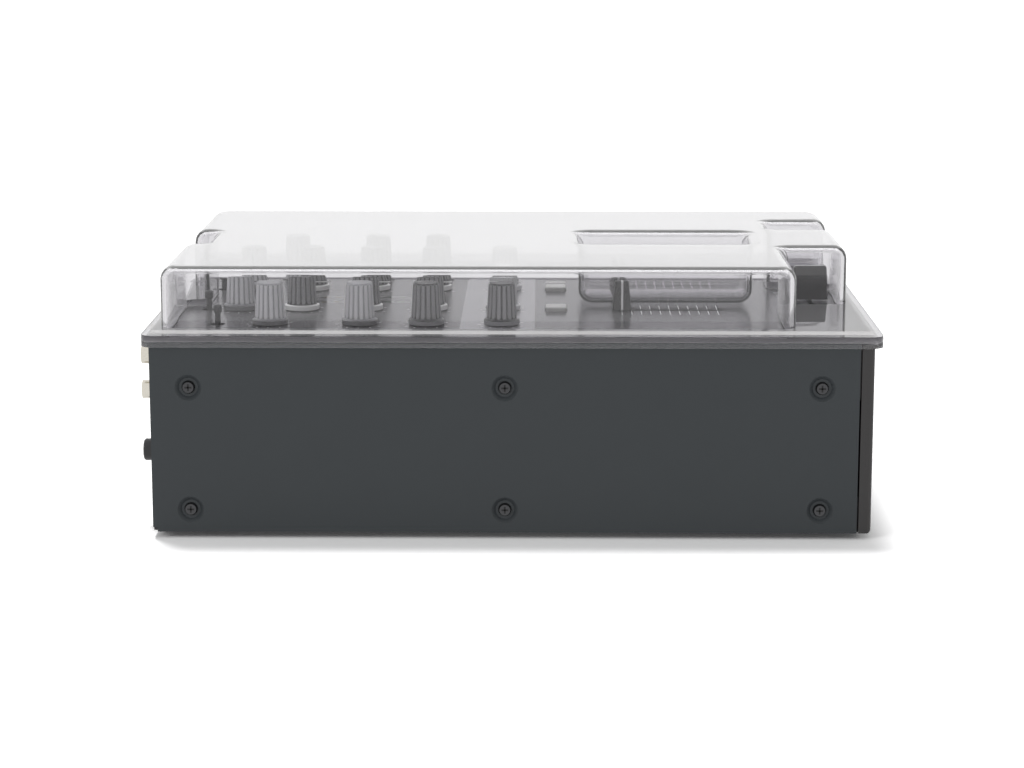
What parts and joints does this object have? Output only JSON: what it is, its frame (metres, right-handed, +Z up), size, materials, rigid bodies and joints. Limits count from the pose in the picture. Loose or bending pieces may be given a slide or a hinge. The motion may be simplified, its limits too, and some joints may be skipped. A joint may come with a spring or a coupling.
{
  "type": "dj mixer",
  "caption": "Compact dj mixer with rotary controls, channel faders and a crossfader on a flat panel, under a clear lift-off dust cover.",
  "frame": {"origin": "centre of the case's footprint, on the plane of the feet", "axes": "+X to the player's right, +Y to the rear sockets, +Z up"},
  "size_m": [0.245, 0.331, 0.1196],
  "materials": {
    "case_steel": "satin black powder coat",
    "panel_black": "semi-gloss black",
    "rear_black": "satin black",
    "front_grey": "satin dark grey",
    "side_paint": "satin dark grey, fine texture",
    "screw_black": "black oxide",
    "foot_rubber": "matt",
    "part_metal": "plated",
    "board_green": "solder mask",
    "black_plastic": "moulded",
    "meter_lens": "smoked clear",
    "meter_lamp": "diffused",
    "core_iron": "varnished",
    "jack_metal": "bright nickel",
    "knob_grey": "soft satin",
    "knob_dark": "soft satin",
    "knob_silver": "soft satin",
    "cap_black": "soft satin",
    "button_grey": "translucent satin",
    "lever_black": "satin",
    "clear_cover": "polished clear"
  },
  "bodies": {
    "chassis": {"chassis_base": "case_steel", "top_panel": "panel_black", "rear_panel": "rear_black", "front_panel": "front_grey", "left_side_panel": "side_paint", "right_side_panel": "side_paint", "side_screws": "screw_black", "feet": "foot_rubber", "potentiometers": "part_metal", "control_board": "board_green", "panel_posts": "part_metal", "fader_frames": "part_metal", "cue_switches": "black_plastic", "lever_switches": "black_plastic", "power_switch": "black_plastic", "meter_lenses": "meter_lens", "meter_leds": "meter_lamp", "main_board": "board_green", "supply_board": "board_green", "transformer": "core_iron", "board_posts": "part_metal", "rca_jacks": "jack_metal", "rca_blocks": "black_plastic", "master_jack_left": "black_plastic", "master_jack_right": "black_plastic", "mic_jack": "black_plastic", "phones_jack": "black_plastic", "phones_mini_jack": "black_plastic", "usb_socket": "jack_metal", "power_inlet": "black_plastic", "inlet_pins": "jack_metal", "ground_terminal": "jack_metal"},
    "mic_level_knob": {"mic_level_knob": "knob_grey"},
    "mic_tone_knob": {"mic_tone_knob": "knob_grey"},
    "phones_mix_knob": {"phones_mix_knob": "knob_dark"},
    "phones_level_knob": {"phones_level_knob": "knob_dark"},
    "master_level_knob": {"master_level_knob": "knob_grey"},
    "booth_level_knob": {"booth_level_knob": "knob_dark"},
    "monitor_tone_knob": {"monitor_tone_knob": "knob_dark"},
    "trim_knob_1": {"trim_knob_1": "knob_grey"},
    "high_knob_1": {"high_knob_1": "knob_dark"},
    "mid_knob_1": {"mid_knob_1": "knob_dark"},
    "low_knob_1": {"low_knob_1": "knob_dark"},
    "effect_knob_1": {"effect_knob_1": "knob_silver"},
    "trim_knob_2": {"trim_knob_2": "knob_grey"},
    "high_knob_2": {"high_knob_2": "knob_dark"},
    "mid_knob_2": {"mid_knob_2": "knob_dark"},
    "low_knob_2": {"low_knob_2": "knob_dark"},
    "effect_knob_2": {"effect_knob_2": "knob_silver"},
    "channel_1_fader": {"channel_1_fader": "cap_black"},
    "channel_2_fader": {"channel_2_fader": "cap_black"},
    "crossfader": {"crossfader": "cap_black"},
    "cue_button_1": {"cue_button_1": "button_grey"},
    "cue_button_2": {"cue_button_2": "button_grey"},
    "mic_switch_lever": {"mic_switch_lever": "lever_black"},
    "input_selector_1": {"input_selector_1": "lever_black"},
    "input_selector_2": {"input_selector_2": "lever_black"},
    "effect_switch_lever": {"effect_switch_lever": "lever_black"},
    "power_button": {"power_button": "lever_black"},
    "dust_cover": {"dust_cover": "clear_cover"}
  },
  "joints": [
    {"name": "mic_level_knob_turn", "type": "hinge", "parent": "chassis", "child": "mic_level_knob", "pos_m": [-0.071, 0.111, 0.089], "axis": [0, 0, 1], "range_deg": [-150, 150]},
    {"name": "mic_tone_knob_turn", "type": "hinge", "parent": "chassis", "child": "mic_tone_knob", "pos_m": [-0.071, 0.07, 0.089], "axis": [0, 0, 1], "range_deg": [-150, 150]},
    {"name": "phones_mix_knob_turn", "type": "hinge", "parent": "chassis", "child": "phones_mix_knob", "pos_m": [-0.071, 0.0395, 0.089], "axis": [0, 0, 1], "range_deg": [-150, 150]},
    {"name": "phones_level_knob_turn", "type": "hinge", "parent": "chassis", "child": "phones_level_knob", "pos_m": [-0.071, 0.005, 0.089], "axis": [0, 0, 1], "range_deg": [-150, 150]},
    {"name": "master_level_knob_turn", "type": "hinge", "parent": "chassis", "child": "master_level_knob", "pos_m": [0.071, 0.111, 0.089], "axis": [0, 0, 1], "range_deg": [-150, 150]},
    {"name": "booth_level_knob_turn", "type": "hinge", "parent": "chassis", "child": "booth_level_knob", "pos_m": [0.071, 0.07, 0.089], "axis": [0, 0, 1], "range_deg": [-150, 150]},
    {"name": "monitor_tone_knob_turn", "type": "hinge", "parent": "chassis", "child": "monitor_tone_knob", "pos_m": [0.071, 0.0395, 0.089], "axis": [0, 0, 1], "range_deg": [-150, 150]},
    {"name": "trim_knob_1_turn", "type": "hinge", "parent": "chassis", "child": "trim_knob_1", "pos_m": [-0.03, 0.129, 0.089], "axis": [0, 0, 1], "range_deg": [-150, 150]},
    {"name": "high_knob_1_turn", "type": "hinge", "parent": "chassis", "child": "high_knob_1", "pos_m": [-0.03, 0.1, 0.089], "axis": [0, 0, 1], "range_deg": [-150, 150]},
    {"name": "mid_knob_1_turn", "type": "hinge", "parent": "chassis", "child": "mid_knob_1", "pos_m": [-0.03, 0.07, 0.089], "axis": [0, 0, 1], "range_deg": [-150, 150]},
    {"name": "low_knob_1_turn", "type": "hinge", "parent": "chassis", "child": "low_knob_1", "pos_m": [-0.03, 0.0395, 0.089], "axis": [0, 0, 1], "range_deg": [-150, 150]},
    {"name": "effect_knob_1_turn", "type": "hinge", "parent": "chassis", "child": "effect_knob_1", "pos_m": [-0.03, 0.005, 0.089], "axis": [0, 0, 1], "range_deg": [-150, 150]},
    {"name": "trim_knob_2_turn", "type": "hinge", "parent": "chassis", "child": "trim_knob_2", "pos_m": [0.03, 0.129, 0.089], "axis": [0, 0, 1], "range_deg": [-150, 150]},
    {"name": "high_knob_2_turn", "type": "hinge", "parent": "chassis", "child": "high_knob_2", "pos_m": [0.03, 0.1, 0.089], "axis": [0, 0, 1], "range_deg": [-150, 150]},
    {"name": "mid_knob_2_turn", "type": "hinge", "parent": "chassis", "child": "mid_knob_2", "pos_m": [0.03, 0.07, 0.089], "axis": [0, 0, 1], "range_deg": [-150, 150]},
    {"name": "low_knob_2_turn", "type": "hinge", "parent": "chassis", "child": "low_knob_2", "pos_m": [0.03, 0.0395, 0.089], "axis": [0, 0, 1], "range_deg": [-150, 150]},
    {"name": "effect_knob_2_turn", "type": "hinge", "parent": "chassis", "child": "effect_knob_2", "pos_m": [0.03, 0.005, 0.089], "axis": [0, 0, 1], "range_deg": [-150, 150]},
    {"name": "channel_1_fader_slide", "type": "slide", "parent": "chassis", "child": "channel_1_fader", "axis": [0, -1, 0], "range_m": [0, 0.045]},
    {"name": "channel_2_fader_slide", "type": "slide", "parent": "chassis", "child": "channel_2_fader", "axis": [0, -1, 0], "range_m": [0, 0.045]},
    {"name": "crossfader_slide", "type": "slide", "parent": "chassis", "child": "crossfader", "axis": [1, 0, 0], "range_m": [-0.0225, 0.0225]},
    {"name": "cue_button_1_press", "type": "slide", "parent": "chassis", "child": "cue_button_1", "axis": [0, 0, -1], "range_m": [0, 0.0008], "stiffness_N_per_m": 1200},
    {"name": "cue_button_2_press", "type": "slide", "parent": "chassis", "child": "cue_button_2", "axis": [0, 0, -1], "range_m": [0, 0.0008], "stiffness_N_per_m": 1200},
    {"name": "mic_switch_lever_tilt", "type": "hinge", "parent": "chassis", "child": "mic_switch_lever", "pos_m": [-0.071, 0.135, 0.085], "axis": [1, 0, 0], "range_deg": [-10, 10]},
    {"name": "input_selector_1_tilt", "type": "hinge", "parent": "chassis", "child": "input_selector_1", "pos_m": [-0.03, 0.144, 0.085], "axis": [1, 0, 0], "range_deg": [-10, 10]},
    {"name": "input_selector_2_tilt", "type": "hinge", "parent": "chassis", "child": "input_selector_2", "pos_m": [0.03, 0.144, 0.085], "axis": [1, 0, 0], "range_deg": [-10, 10]},
    {"name": "effect_switch_lever_tilt", "type": "hinge", "parent": "chassis", "child": "effect_switch_lever", "pos_m": [0.071, 0.005, 0.085], "axis": [1, 0, 0], "range_deg": [-10, 10]},
    {"name": "power_button_press", "type": "slide", "parent": "chassis", "child": "power_button", "axis": [0, -1, 0], "range_m": [0, 0.003], "stiffness_N_per_m": 800},
    {"name": "dust_cover_lift", "type": "slide", "parent": "chassis", "child": "dust_cover", "axis": [0, 0, 1], "range_m": [0, 0.08]}
  ]
}
